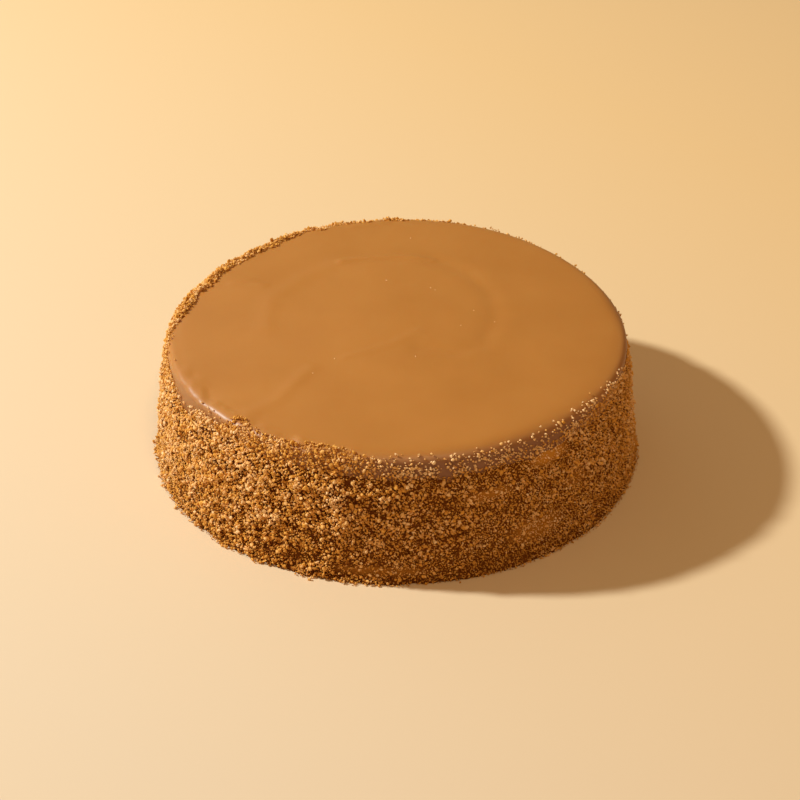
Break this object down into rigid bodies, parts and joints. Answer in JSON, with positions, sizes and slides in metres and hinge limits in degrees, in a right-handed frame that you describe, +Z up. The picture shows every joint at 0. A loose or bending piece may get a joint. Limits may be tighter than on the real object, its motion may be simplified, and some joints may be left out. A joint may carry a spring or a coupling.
{
  "type": "tres leches cake",
  "caption": "Whole round milk-soaked cake with smooth caramel icing over its top and shoulder and biscuit crumbs pressed round its side.",
  "frame": {"origin": "middle of the flat foot that the cake rests on", "axes": "+Z up through the middle of the cake; -Y is the front that the picture looks at, +X its right"},
  "size_m": [0.2192, 0.219, 0.0631],
  "materials": {
    "biscuit_crumb": "dry golden-brown biscuit crumb",
    "caramel_icing": "satin caramel, spread smooth with a spatula"
  },
  "bodies": {
    "root": {"cake_body": "biscuit_crumb", "caramel_icing": "caramel_icing"}
  },
  "joints": []
}
